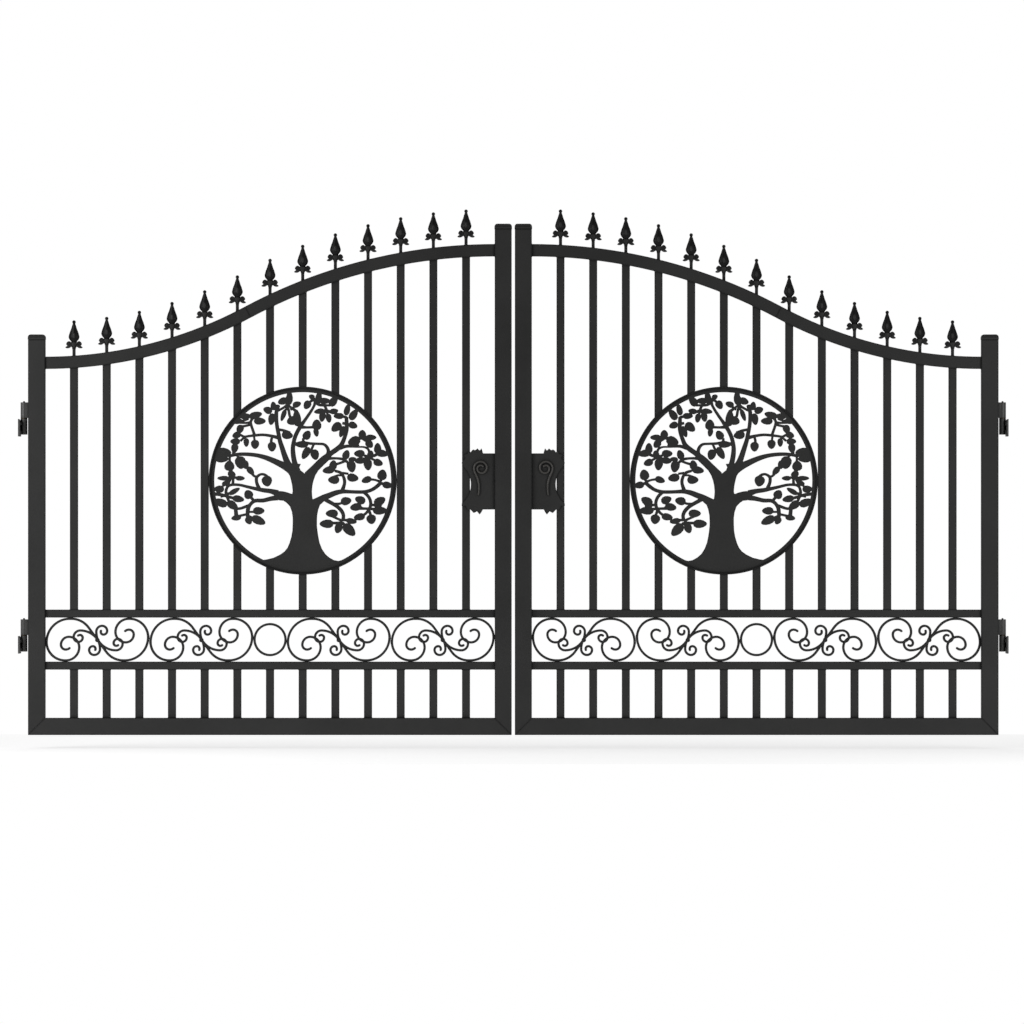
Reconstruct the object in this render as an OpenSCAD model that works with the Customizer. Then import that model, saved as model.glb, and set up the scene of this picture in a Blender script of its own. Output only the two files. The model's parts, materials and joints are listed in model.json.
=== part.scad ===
/* [Opening] */

// Clear opening between the two gate posts, flat face to flat face
opening_w = 3740; // [3360:1:4110]
// Gap between the two leaves where they meet
meeting_gap = 12; // [10:1:25]
// From the leaf's outer edge to the post face, filled by the hinges
hinge_side_gap = 39; // [39:1:60]

/* [Frame] */

// Width and depth of the square stiles and of the bottom rail
frame_tube = 64; // [53:1:77]
// Height of the hinge stile without its cap
hinge_stile_h = 1492; // [1400:1:1640]
// Height of the meeting stile without its cap
meeting_stile_h = 1910; // [1820:1:2100]
// Depth of the curved top rail, seen from the front
top_rail = 46; // [38:1:56]
// Height of the top rail's centre line at the hinge stile
top_low_z = 1405; // [1300:1:1450]
// Height of the top rail's centre line at the meeting stile
top_high_z = 1830; // [1700:1:1870]
// Share of the low, hollow arc in the whole curve of the top rail
low_arc_share = 0.451; // [0.4:0.001:0.5]

/* [Stile caps] */

// How far a cap's lip stands out past the stile, each side
cap_lip_out = 1; // [0.8:0.1:4]
// Height of the cap's lip
cap_lip_h = 9; // [7:0.5:11]
// Height of the rounded top over the lip
cap_crown_h = 11; // [11:0.5:16]
// Radius of the crown's shoulders
cap_shoulder_r = 11; // [6:0.5:11]

/* [Pickets] */

// Number of pickets in a leaf
picket_count = 13; // [13:1:13]
// Width and depth of a picket and of the two scroll rails
picket_bar = 30; // [25:1:36]
// Height of the underside of the lower scroll rail
scroll_rail_z = 246.5; // [220:0.5:300]
// Clear height between the two scroll rails
scroll_panel_h = 166.5; // [150:0.5:190]

/* [Medallion] */

// The picket the medallion is centred on, counted from the hinge stile
medallion_picket = 8; // [5:1:9]
// Height of the medallion's centre
medallion_z = 960; // [930:1:1000]
// Thickness of the hoop's flat bar
hoop_t = 5; // [4:0.5:8]
// Depth of the hoop's flat bar, front to back
hoop_d = 25; // [20:1:40]
// Thickness of the cut tree plate
tree_t = 6; // [4:0.5:10]
// Width of the plate's border band inside the hoop
tree_border = 15; // [12:0.5:24]
// Rounding of the inside corners of the tree plate
tree_fillet = 1.5; // [0.5:0.1:2.5]

/* [Scroll panel] */

// Thickness of the scroll bar, seen from the front
scroll_bar = 9; // [7:0.5:11]
// Depth of the scroll bar, front to back
scroll_d = 20; // [12:1:25]
// Outer diameter of the ring in the middle of the panel
ring_dia = 126; // [110:0.5:140]
// Thickness of the ring's bar, seen from the front
ring_bar = 9; // [6:0.5:12]

/* [Finials] */

// Height of a finial over the top of the rail
finial_h = 134; // [120:1:150]
// Diameter of the ball at the tip
finial_ball = 13.5; // [11:0.5:16]
// Depth of the curled collar, front to back
collar_d = 14; // [10:0.5:18]
// Width of the stem under the collar
finial_stem = 12; // [9:0.5:14]

/* [Lock plates] */

// Thickness of the leaf-shaped lock plate
plate_t = 4; // [3:0.5:6]
// Height of the middle of the lock plate
plate_z = 957; // [900:1:1020]
// Diameter of the round bar of the scroll pull
pull_bar = 8; // [6:0.5:10]

/* [Hinges] */

// Diameter of the hinge barrel
barrel_dia = 26; // [24:1:32]
// Length of each half of a barrel
barrel_half_h = 61; // [50:1:75]
// Diameter of the hinge pin
pin_dia = 14; // [12:0.5:16]
// Radial running clearance between pin and bore
pin_clear = 0.05; // [0.02:0.01:0.1]
// Thickness of the thrust washer between the two halves
washer_t = 2; // [1:0.5:4]
// Height where the lower hinge's two halves meet
lower_split_z = 375; // [330:1:450]
// Height where the upper hinge's two halves meet
upper_split_z = 1195; // [1100:1:1250]
// Thickness of the plate fixed to the post
jamb_plate_t = 8; // [6:0.5:12]
// Height of the plate fixed to the post
jamb_plate_h = 66; // [60:1:90]
// How far under the split the plate's top edge is
jamb_plate_drop = 2; // [2:0.5:10]
// Width of the plate fixed to the post, front to back
jamb_plate_w = 90; // [80:1:120]
// Diameter of the four bolt holes in the plate
bolt_hole = 11; // [8:0.5:14]

/* [Hidden] */

$fn = 96;

// Gap left where a curved or welded face meets its neighbour
weld_gap = 0.2;

leaf_w = (opening_w - meeting_gap) / 2 - hinge_side_gap;
clear_w = leaf_w - 2 * frame_tube;
centre_x = opening_w / 2;
leaf_x = hinge_side_gap;
mid_y = -frame_tube / 2;
leaf_z = -(lower_split_z - jamb_plate_drop - jamb_plate_h / 2);

picket_gap = (clear_w - picket_count * picket_bar) / (picket_count + 1);
picket_pitch = picket_gap + picket_bar;
low_rail_top = scroll_rail_z + picket_bar;
up_rail_z = low_rail_top + scroll_panel_h;
up_rail_top = up_rail_z + picket_bar;

top_rise = top_high_z - top_low_z;
// The crown stands this much inside the lip
cap_step = 0.5;

arc_sum = (clear_w * clear_w + top_rise * top_rise) / (2 * top_rise);
low_r = low_arc_share * arc_sum;
high_r = arc_sum - low_r;
arc_turn = asin(clear_w / arc_sum);
low_cx = frame_tube;
low_cz = top_low_z + low_r;
high_cx = leaf_w - frame_tube;
high_cz = top_high_z - high_r;
joint_x = low_cx + low_r * sin(arc_turn);

hoop_r = 3 * picket_pitch - picket_bar / 2 - weld_gap;
hoop_in_r = hoop_r - hoop_t;
tree_r = hoop_in_r - weld_gap;
tree_in_r = tree_r - tree_border;
// Width added all round the limbs and leaves drawn below
tree_grow = 0.8;

ring_r = ring_dia / 2;
scroll_w = (clear_w - ring_dia) / 4;
panel_mid_z = low_rail_top + scroll_panel_h / 2;

barrel_r = barrel_dia / 2;
pin_r = pin_dia / 2;
axis_x = jamb_plate_t + barrel_r;

// Node to draw, or all of them

// ---------- placing ----------

// Leaf drawing plane: x across from the stile's outer edge, z up from the leaf's bottom
module in_leaf() {
    translate([leaf_x, 0, leaf_z])
        children();
}

module mirrored() {
    translate([2 * centre_x, 0, 0])
        mirror([1, 0, 0])
            children();
}

// Turns a flat front view into a plate of the given thickness, its middle at depth y
module upright(y, t) {
    translate([0, y + t / 2, 0])
        rotate([90, 0, 0])
            linear_extrude(t)
                children();
}

function picket_x(i) = frame_tube + i * picket_pitch - picket_bar / 2;

// Centre-line height of the top rail over a point across the leaf
function rail_z(x) = x < joint_x
    ? low_cz - sqrt(low_r * low_r - (x - low_cx) * (x - low_cx))
    : high_cz + sqrt(high_r * high_r - (x - high_cx) * (x - high_cx));

// Slope of the top rail over a point across the leaf, in degrees
function rail_slope(x) = x < joint_x
    ? asin((x - low_cx) / low_r)
    : asin((high_cx - x) / high_r);

// ---------- frame ----------

module hinge_stile() {
    color([0.12, 0.12, 0.12])
        in_leaf()
            upright(mid_y, frame_tube)
                polygon([[0, 0], [frame_tube, frame_tube],
                    [frame_tube, hinge_stile_h], [0, hinge_stile_h]]);
}

module meeting_stile() {
    color([0.12, 0.12, 0.12])
        in_leaf()
            upright(mid_y, frame_tube)
                polygon([[leaf_w, 0], [leaf_w, meeting_stile_h],
                    [leaf_w - frame_tube, meeting_stile_h],
                    [leaf_w - frame_tube, frame_tube]]);
}

module bottom_rail() {
    color([0.12, 0.12, 0.12])
        in_leaf()
            upright(mid_y, frame_tube)
                polygon([[0, 0], [leaf_w, 0],
                    [leaf_w - frame_tube, frame_tube],
                    [frame_tube, frame_tube]]);
}

// Curved bar of the top rail: a square section turned about the arc's centre
module arc_bar(r, from) {
    rotate([90, 0, 0])
        rotate([0, 0, from])
            rotate_extrude(angle = arc_turn)
                translate([r - top_rail / 2, -top_rail / 2])
                    square([top_rail, top_rail]);
}

module top_rail_low() {
    color([0.12, 0.12, 0.12])
        in_leaf()
            translate([low_cx, mid_y, low_cz])
                arc_bar(low_r, -90);
}

module top_rail_high() {
    color([0.12, 0.12, 0.12])
        in_leaf()
            translate([high_cx, mid_y, high_cz])
                arc_bar(high_r, 90);
}

module scroll_rails() {
    color([0.12, 0.12, 0.12])
        in_leaf()
            for (z = [scroll_rail_z, up_rail_z])
                translate([frame_tube, mid_y - picket_bar / 2, z])
                    cube([clear_w, picket_bar, picket_bar]);
}

// ---------- caps ----------

// The crown's side view, cut off inside the lip so that its shoulders don't reach the stile
module crown_side() {
    half = frame_tube / 2 + cap_lip_out - cap_step;
    top = cap_lip_h + cap_crown_h;
    intersection() {
        translate([-half, cap_lip_h / 2])
            square([2 * half, top]);
        union() {
            translate([-half, 0])
                square([2 * half, top - cap_shoulder_r]);
            translate([cap_shoulder_r - half, 0])
                square([2 * (half - cap_shoulder_r), top]);
            for (s = [-1, 1])
                translate([s * (half - cap_shoulder_r), top - cap_shoulder_r])
                    circle(r = cap_shoulder_r);
        }
    }
}

module cap() {
    w = frame_tube + 2 * cap_lip_out;
    translate([-w / 2, -w / 2, 0])
        cube([w, w, cap_lip_h]);
    intersection() {
        upright(0, w)
            crown_side();
        rotate([0, 0, 90])
            upright(0, w)
                crown_side();
    }
}

module stile_caps() {
    color([0.1, 0.1, 0.1])
        in_leaf() {
            translate([frame_tube / 2, mid_y, hinge_stile_h])
                cap();
            translate([leaf_w - frame_tube / 2, mid_y, meeting_stile_h])
                cap();
        }
}

// ---------- pickets ----------

module low_picket_bars() {
    difference() {
        for (i = [1 : picket_count])
            if (picket_x(i) < joint_x)
                translate([picket_x(i) - picket_bar / 2,
                    mid_y - picket_bar / 2, up_rail_top])
                    cube([picket_bar, picket_bar,
                        rail_z(picket_x(i)) - up_rail_top]);
        translate([low_cx, 0, low_cz])
            rotate([90, 0, 0])
                cylinder(r = low_r + top_rail / 2 + weld_gap,
                    h = frame_tube, $fn = 720);
        medallion_void();
    }
}

module high_picket_bars() {
    intersection() {
        difference() {
            for (i = [1 : picket_count])
                if (picket_x(i) >= joint_x)
                    translate([picket_x(i) - picket_bar / 2,
                        mid_y - picket_bar / 2, up_rail_top])
                        cube([picket_bar, picket_bar,
                            rail_z(picket_x(i)) - up_rail_top]);
            medallion_void();
        }
        translate([high_cx, 0, high_cz])
            rotate([90, 0, 0])
                cylinder(r = high_r - top_rail / 2 - weld_gap,
                    h = frame_tube, $fn = 720);
    }
}

module medallion_void() {
    translate([picket_x(medallion_picket), 0, medallion_z])
        rotate([90, 0, 0])
            cylinder(r = hoop_r + weld_gap, h = frame_tube, $fn = 360);
}

module upper_pickets() {
    color([0.14, 0.14, 0.14])
        in_leaf() {
            low_picket_bars();
            high_picket_bars();
        }
}

module lower_pickets() {
    color([0.14, 0.14, 0.14])
        in_leaf()
            for (i = [1 : picket_count])
                translate([picket_x(i) - picket_bar / 2,
                    mid_y - picket_bar / 2, frame_tube])
                    cube([picket_bar, picket_bar,
                        scroll_rail_z - frame_tube]);
}

// ---------- finials ----------

// Outlines of a finial, half of each, drawn for a height of 134 and sized to finial_h:
// out from the middle and up from the top of the rail
finial_k = finial_h / 134;
spear_half = [[10, 50], [12, 55], [16.5, 60], [19.5, 66], [20.5, 72],
    [18.5, 80], [15.5, 90], [11.5, 100], [8.5, 110], [5, 120], [4.5, 124]];
// Share of its width that the spear is deep, front to back
spear_depth = 0.55;
collar_half = [[6, 26], [7.5, 31], [10, 33.5], [12, 33], [17, 29.5],
    [24, 28], [30, 29], [32.5, 31.5], [31, 33.5], [25.5, 38],
    [28, 40.5], [29.5, 45], [26, 51.5], [20, 55], [14, 53.5],
    [10.5, 51], [0, 52]];
// Raised V on the collar and raised lens on the spear
collar_boss = [[0, 27], [5, 34], [10, 45], [8, 50], [0, 51]];
spear_lens = [[0, 65], [4, 69], [5.5, 74], [4.5, 80], [0, 89]];
stem_top = 32;
boss_out = 3;
lens_out = 1.5;

// A shape from half its outline, the other half mirrored; points on the middle line aren't repeated
module both_halves(p) {
    polygon(finial_k * concat(p,
        [for (i = [len(p) - 1 : -1 : 0]) if (p[i][0] > 0)
            [-p[i][0], p[i][1]]]));
}

module spear_side() {
    both_halves([for (p = spear_half) [max(spear_depth * p[0], 4), p[1]]]);
}

module finial() {
    intersection() {
        upright(0, finial_h)
            both_halves(spear_half);
        rotate([0, 0, 90])
            upright(0, finial_h)
                spear_side();
    }
    upright(0, finial_k * 2 * spear_depth * 20.5 + 2 * lens_out)
        both_halves(spear_lens);
    upright(0, collar_d)
        both_halves(collar_half);
    upright(0, collar_d + 2 * boss_out)
        both_halves(collar_boss);
    translate([0, 0, finial_h - finial_ball / 2])
        sphere(r = finial_ball / 2);
}

module finial_stems() {
    for (i = [1 : picket_count])
        translate([picket_x(i) - finial_stem / 2,
            mid_y - finial_stem / 2, rail_z(picket_x(i))])
            cube([finial_stem, finial_stem,
                finial_top_of_rail(i) - rail_z(picket_x(i))
                    + finial_k * stem_top]);
}

// Height of the rail's top face over a picket's centre
function finial_top_of_rail(i) = rail_z(picket_x(i))
    + top_rail / 2 / cos(rail_slope(picket_x(i)));

module finials() {
    color([0.14, 0.14, 0.14])
        in_leaf() {
            for (i = [1 : picket_count])
                translate([picket_x(i), mid_y, finial_top_of_rail(i)])
                    finial();
            difference() {
                finial_stems();
                rail_band();
            }
        }
}

// The two arcs of the top rail, a weld gap larger, cut out of the stems
module rail_band() {
    intersection() {
        translate([0, -frame_tube, 0])
            cube([joint_x, frame_tube, 2 * low_cz]);
        translate([low_cx, 0, low_cz])
            rotate([90, 0, 0])
                difference() {
                    cylinder(r = low_r + top_rail, h = frame_tube, $fn = 720);
                    translate([0, 0, -1])
                        cylinder(r = low_r - top_rail / 2 - weld_gap,
                            h = frame_tube + 2, $fn = 720);
                }
    }
    intersection() {
        translate([joint_x, -frame_tube, 0])
            cube([leaf_w - joint_x, frame_tube, 2 * low_cz]);
        translate([high_cx, 0, high_cz])
            rotate([90, 0, 0])
                cylinder(r = high_r + top_rail / 2 + weld_gap,
                    h = frame_tube, $fn = 720);
    }
}

// ---------- medallion ----------

// Tree limbs and twigs: points of each one's middle line, across and up from the medallion's
// centre, each with the width there
limbs = [
    [[-25, -85, 50], [-60, -62, 34], [-85, -57, 34], [-98, -55, 28]],
    [[-95, -48, 24], [-120, -40, 17], [-150, -36, 15], [-180, -30, 12],
        [-210, -23, 10], [-240, -16, 9], [-270, -16, 9], [-285, -25, 9],
        [-290, -45, 10], [-285, -62, 11]],
    [[-95, -64, 20], [-120, -68, 16], [-150, -75, 14], [-180, -76, 13],
        [-198, -90, 12], [-207, -110, 14], [-208, -140, 12]],
    [[-165, -30, 14], [-173, -10, 11], [-175, 5, 11], [-172, 15, 10],
        [-158, 24, 8], [-143, 22, 9], [-130, 12, 9]],
    [[-172, 14, 8], [-184, 18, 8], [-194, 30, 10]],
    [[-200, -92, 9], [-215, -98, 10], [-235, -105, 9], [-250, -106, 9]],
    [[-208, -126, 8], [-225, -130, 8], [-243, -134, 8]],
    [[-205, -118, 7], [-185, -118, 7]],
    [[-208, -134, 12], [-190, -142, 11]],
    [[-20, 35, 60], [-55, 50, 34], [-80, 61, 24], [-110, 75, 20],
        [-140, 87, 17], [-170, 95, 14], [-200, 99, 13], [-230, 100, 12],
        [-255, 98, 11], [-272, 94, 10]],
    [[-40, 40, 24], [-52, 58, 24], [-60, 73, 22], [-70, 100, 19], [-78, 125, 17],
        [-86, 150, 15], [-91, 175, 14], [-96, 200, 13], [-99, 225, 13],
        [-100, 250, 14], [-98, 268, 12]],
    [[-18, 38, 18], [-27, 57, 20], [-32, 75, 18], [-36, 100, 17], [-37, 125, 15],
        [-33, 150, 14], [-26, 172, 14], [-16, 192, 14], [-5, 210, 14],
        [8, 228, 11], [22, 248, 10], [35, 268, 9], [44, 285, 9],
        [48, 302, 12]],
    [[-10, 203, 14], [15, 201, 8], [40, 202, 9]],
    [[-92, 162, 13], [-120, 169, 10], [-150, 173, 9], [-180, 171, 9],
        [-205, 168, 8], [-222, 166, 8], [-240, 176, 9]],
    [[-115, 166, 8], [-119, 150, 9], [-117, 138, 9]],
    [[-184, 168, 7], [-181, 148, 7]],
    [[-219, 166, 8], [-215, 150, 12]],
    [[-221, 163, 7], [-235, 150, 8]],
    [[-182, 172, 10], [-188, 190, 9], [-194, 208, 9], [-196, 224, 9],
        [-186, 238, 9]],
    [[-196, 220, 9], [-215, 218, 7], [-235, 219, 8], [-262, 222, 10]],
    [[-195, 212, 8], [-215, 207, 8], [-232, 204, 9]],
    [[-246, 238, 10], [-228, 226, 7], [-205, 234, 8]],
    [[-92, 193, 9], [-70, 189, 9], [-48, 181, 9]],
    [[-100, 262, 9], [-82, 270, 8], [-62, 283, 9], [-52, 300, 14]],
    [[-30, 214, 12], [-48, 242, 9], [-52, 262, 9], [-58, 280, 9]],
    [[-22, 260, 12], [-42, 275, 8], [-55, 285, 8]],
    [[-28, 138, 12], [5, 143, 10], [30, 140, 9], [60, 139, 8], [80, 137, 9],
        [92, 126, 11], [97, 110, 12], [92, 92, 14]],
    [[2, 160, 8], [2, 143, 10]],
    [[42, 138, 8], [35, 122, 8], [27, 106, 9]],
    [[18, 20, 28], [50, 50, 28], [70, 70, 28], [88, 86, 26], [105, 102, 18],
        [128, 118, 18], [146, 135, 16], [157, 160, 14], [166, 190, 13],
        [166, 215, 14], [165, 240, 12]],
    [[88, 84, 16], [105, 84, 10], [130, 84, 8], [155, 80, 10], [170, 68, 9]],
    [[140, 122, 12], [165, 130, 11], [195, 130, 9], [212, 136, 8]],
    [[180, 128, 5], [205, 127, 5], [230, 127, 6], [246, 120, 8],
        [252, 105, 9], [250, 88, 9]],
    [[198, 158, 12], [225, 161, 10], [245, 160, 9]],
    [[225, 160, 10], [242, 148, 9]],
    [[150, 217, 9], [168, 214, 10]],
    [[88, 264, 12], [118, 256, 9], [148, 244, 9], [166, 238, 10]],
    [[46, 296, 9], [62, 286, 9], [82, 283, 9], [90, 266, 10]],
    [[50, 290, 10], [58, 305, 16]],
    [[75, 285, 8], [104, 284, 7]],
    [[118, 60, 10], [140, 66, 8], [160, 74, 9]],
    [[232, 95, 8], [250, 89, 10], [266, 80, 8], [278, 74, 8]],
    [[250, 90, 10], [272, 95, 10], [285, 104, 12]],
    [[229, 82, 9], [246, 86, 10]],
    [[28, -96, 38], [55, -80, 30], [80, -64, 22], [100, -56, 20],
        [125, -46, 18], [150, -41, 15], [180, -42, 12], [210, -43, 12],
        [236, -42, 12], [260, -35, 12], [280, -22, 13], [295, -8, 13]],
    [[150, -36, 14], [157, -15, 11], [158, 0, 11], [153, 17, 10],
        [143, 30, 10], [122, 37, 9]],
    [[150, 29, 8], [172, 26, 7]],
    [[120, 15, 8], [134, 20, 7], [150, 20, 7]],
    [[250, 5, 9], [272, 3, 7], [292, -4, 9]],
    [[292, -4, 9], [300, 8, 9]],
    [[293, -9, 10], [310, -14, 10]],
    [[232, -44, 12], [248, -60, 11], [256, -78, 11], [256, -95, 11],
        [250, -112, 11]],
    [[258, -92, 9], [275, -92, 10]],
    [[252, -106, 9], [275, -108, 9]],
    [[214, -84, 8], [222, -103, 8], [248, -106, 9]],
    [[200, -106, 8], [248, -106, 8]],
    [[250, -110, 10], [238, -124, 9], [222, -134, 9]],
    [[250, -112, 10], [257, -130, 9]],
    [[78, -66, 16], [95, -77, 14], [115, -88, 13], [133, -100, 13],
        [147, -115, 13], [154, -132, 12], [151, -152, 12]],
    [[118, -88, 9], [140, -87, 8], [150, -82, 8]],
    [[112, -135, 8], [132, -144, 8], [150, -152, 9]],
    [[108, -160, 9], [135, -160, 10], [151, -158, 12]],
    [[150, -160, 12], [165, -173, 10]],
    [[152, -148, 9], [172, -150, 9]],
    [[197, -150, 9], [204, -142, 10]],
    [[-275, 92, 8], [-276, 78, 8], [-272, 60, 9]],
    [[-274, 45, 14], [-271, 30, 14], [-274, 10, 14], [-280, -5, 12],
        [-284, -22, 10]],
    [[-268, 12, 8], [-245, 11, 9]],
    [[-262, 10, 8], [-264, -16, 10]],
    [[-284, -50, 10], [-268, -46, 8]],
    [[-284, -60, 10], [-262, -66, 10]],
    [[-286, -60, 10], [-278, -80, 9]],
    [[-288, -58, 10], [-315, -52, 12], [-335, -50, 12]],
    [[-290, -55, 9], [-310, -60, 9]],
    [[-303, -20, 8], [-290, -14, 8]],
    [[-262, 110, 8], [-262, 98, 9]],
    [[-290, 95, 10], [-272, 94, 9]],
    [[-242, 90, 8], [-250, 96, 8]],
    [[-254, -100, 12], [-251, -130, 14]],
    [[-285, -85, 9], [-300, -88, 9]],
    [[34, 314, 8], [50, 304, 9]],
    [[22, 293, 8], [36, 303, 9], [48, 304, 9]],
    [[-28, 282, 9], [-38, 274, 8], [-46, 268, 8]],
    [[-68, 262, 8], [-58, 276, 8]],
    [[68, 263, 8], [88, 266, 9]],
    [[78, 252, 8], [88, 264, 8]],
    [[94, 250, 8], [90, 262, 8]],
    [[-198, -60, 10], [-186, -74, 10]]
];

// Leaves: middle across and up, length, width, and the way the tip points in degrees
leaves = [
    [-215, 243, 44, 22, 0], [-178, 247, 50, 26, 15], [-162, 225, 44, 26, 0],
    [-246, 222, 30, 16, 0], [-237, 194, 34, 26, 250], [-250, 172, 32, 24, 200],
    [-255, 148, 36, 24, 180], [-257, 122, 36, 26, 260], [-213, 144, 32, 20, 270],
    [-180, 137, 34, 30, 270], [-116, 128, 36, 31, 270], [-132, 266, 34, 26, 160],
    [-117, 232, 44, 26, 260], [-110, 282, 32, 22, 100], [-98, 277, 26, 20, 30],
    [-50, 314, 52, 24, 90], [-76, 300, 36, 26, 200], [-22, 288, 32, 22, 20],
    [-73, 247, 46, 17, 250], [-22, 236, 62, 30, 95], [-42, 226, 36, 32, 200],
    [-55, 303, 36, 28, 90], [-58, 172, 42, 30, 350], [17, 286, 34, 27, 240],
    [53, 211, 40, 34, 90], [51, 182, 32, 19, 280], [16, 172, 36, 29, 60],
    [-4, 137, 50, 25, 180], [12, 104, 50, 27, 240], [46, 98, 40, 31, 285],
    [34, 316, 22, 19, 150], [60, 313, 50, 24, 80], [83, 301, 42, 23, 0],
    [116, 300, 44, 28, 55], [118, 262, 32, 20, 10], [62, 262, 38, 19, 190],
    [74, 241, 38, 24, 260], [98, 236, 34, 21, 280], [136, 244, 38, 22, 180],
    [168, 268, 44, 22, 75], [192, 249, 46, 27, 55], [190, 209, 34, 25, 340],
    [127, 202, 44, 31, 220], [149, 185, 44, 21, 250], [194, 149, 48, 34, 200],
    [225, 176, 30, 28, 90], [258, 163, 40, 21, 0], [252, 138, 32, 27, 310],
    [164, 98, 36, 26, 70], [188, 80, 30, 18, 10], [184, 53, 44, 33, 280],
    [98, 40, 46, 27, 190], [115, 59, 36, 28, 80], [117, 3, 42, 30, 180],
    [189, 11, 43, 30, 350], [214, 102, 40, 27, 180], [216, 76, 38, 25, 190],
    [246, 61, 44, 31, 275], [285, 68, 36, 26, 340], [256, 99, 30, 24, 80],
    [283, 122, 40, 27, 90], [300, 103, 48, 27, 350], [241, 3, 38, 24, 200],
    [300, 22, 40, 35, 80], [320, -17, 38, 25, 350], [291, -78, 46, 32, 30],
    [284, -96, 34, 28, 270], [292, -113, 54, 30, 0], [217, -73, 40, 29, 160],
    [199, -100, 40, 28, 190], [164, -77, 40, 30, 10], [259, -146, 36, 35, 280],
    [214, -137, 42, 26, 190], [110, -124, 46, 29, 180], [90, -163, 52, 31, 180],
    [135, -180, 38, 29, 250], [176, -186, 58, 36, 315], [184, -153, 40, 21, 350],
    [-298, 105, 56, 38, 0], [-305, 82, 50, 26, 0], [-235, 68, 48, 40, 280],
    [-217, 60, 34, 26, 290], [-197, 37, 36, 22, 310], [-135, -2, 40, 38, 280],
    [-277, 56, 38, 37, 90], [-268, 25, 30, 23, 340], [-300, 9, 44, 17, 180],
    [-236, 9, 34, 17, 0], [-290, -10, 30, 20, 190], [-316, -32, 38, 26, 180],
    [-258, -40, 46, 18, 30], [-243, -69, 44, 25, 350], [-310, -83, 54, 30, 160],
    [-265, -93, 46, 29, 325], [-205, -52, 34, 33, 120], [-251, -140, 37, 21, 190],
    [-204, -151, 30, 24, 300], [-166, -114, 43, 28, 0], [-167, -150, 56, 31, 335]
];

trunk = [
    [-170, -345], [-150, -300], [-135, -298], [-110, -292], [-85, -280],
    [-68, -268], [-57, -254], [-49, -236], [-42, -212], [-38, -188],
    [-37, -162], [-37, -140], [-40, -118], [-47, -98], [-57, -85],
    [-70, -77], [-70, -60], [-50, -52], [-39, -50], [-37, -40], [-39, -20],
    [-43, 0], [-48, 18], [-56, 31], [-68, 41], [-60, 55], [-40, 58],
    [-26, 60], [-10, 40], [7, 26], [24, 42], [45, 55], [58, 38],
    [47, 20], [40, 0], [36, -18], [34, -40], [35, -58], [38, -76],
    [60, -64], [84, -75], [72, -80], [64, -93], [58, -110], [54, -130],
    [53, -150], [53, -170], [55, -190], [58, -210], [63, -235],
    [72, -258], [85, -278], [100, -291], [118, -301], [135, -304],
    [150, -300], [170, -345]];

// Passes a smooth curve through four points and gives the point at part f between the middle two
function smooth4(a, b, c, d, f) =
    0.5 * (2 * b + (c - a) * f + (2 * a - 5 * b + 4 * c - d) * f * f
        + (3 * b - a - 3 * c + d) * f * f * f);

function smooth_line(p, steps) = concat(
    [for (i = [0 : len(p) - 2], k = [0 : steps - 1])
        smooth4(p[max(i - 1, 0)], p[i], p[i + 1],
            p[min(i + 2, len(p) - 1)], k / steps)],
    [p[len(p) - 1]]);

// Half-width offset to one side of a tapered line at its point i
function side_point(p, i, s) =
    let (a = p[max(i - 1, 0)], b = p[min(i + 1, len(p) - 1)],
        d = [b[0] - a[0], b[1] - a[1]], n = norm(d))
    [p[i][0] - s * p[i][2] / 2 * d[1] / n, p[i][1] + s * p[i][2] / 2 * d[0] / n];

module limb(p) {
    q = smooth_line(p, 3);
    polygon(concat(
        [for (i = [0 : len(q) - 1]) side_point(q, i, 1)],
        [for (i = [len(q) - 1 : -1 : 0]) side_point(q, i, -1)]));
}

module leaf(v) {
    translate([v[0], v[1]])
        rotate(v[4])
            polygon([for (a = [0 : 30 : 330])
                [v[2] / 2 * cos(a), v[3] / 2 * sin(a) * (1 - 0.22 * cos(a))]]);
}

module tree_front() {
    intersection() {
        union() {
            polygon(trunk);
            for (p = limbs)
                limb(p);
            for (v = leaves)
                leaf(v);
        }
        circle(r = tree_in_r + 1, $fn = 180);
    }
    difference() {
        circle(r = tree_r - tree_grow, $fn = 180);
        circle(r = tree_in_r, $fn = 180);
    }
}

module at_medallion() {
    in_leaf()
        translate([picket_x(medallion_picket), 0, medallion_z])
            children();
}

module medallion_hoop() {
    color([0.1, 0.1, 0.1])
        at_medallion()
            upright(mid_y, hoop_d)
                difference() {
                    circle(r = hoop_r, $fn = 240);
                    circle(r = hoop_in_r, $fn = 240);
                }
}

module tree_plate() {
    color([0.16, 0.16, 0.16])
        at_medallion()
            upright(mid_y, tree_t)
                offset(delta = tree_grow - tree_fillet)
                    offset(delta = tree_fillet)
                        tree_front();
}

// ---------- scroll panel ----------

// Points of a bent bar's centre line: each step is a radius and a turn, a turn of 0 being a straight
function bend(p, h, r, t) =
    t == 0 ? [p[0] + r * cos(h), p[1] + r * sin(h)]
    : t > 0 ? [p[0] + r * (sin(h + t) - sin(h)),
        p[1] - r * (cos(h + t) - cos(h))]
    : [p[0] - r * (sin(h + t) - sin(h)),
        p[1] + r * (cos(h + t) - cos(h))];

function bent_line(steps, p = [0, 0], h = 0, i = 0) =
    i >= len(steps) ? [[p[0], p[1], h]]
    : let (r = steps[i][0], t = steps[i][1],
        n = t == 0 ? 1 : ceil(abs(t) / (r < 30 ? 15 : 7.5)))
        concat([for (k = [0 : n - 1])
            let (q = k == 0 ? p : bend(p, h, r, t * k / n))
            [q[0], q[1], h + t * k / n]],
            bent_line(steps, bend(p, h, r, t), h + t, i + 1));

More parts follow.
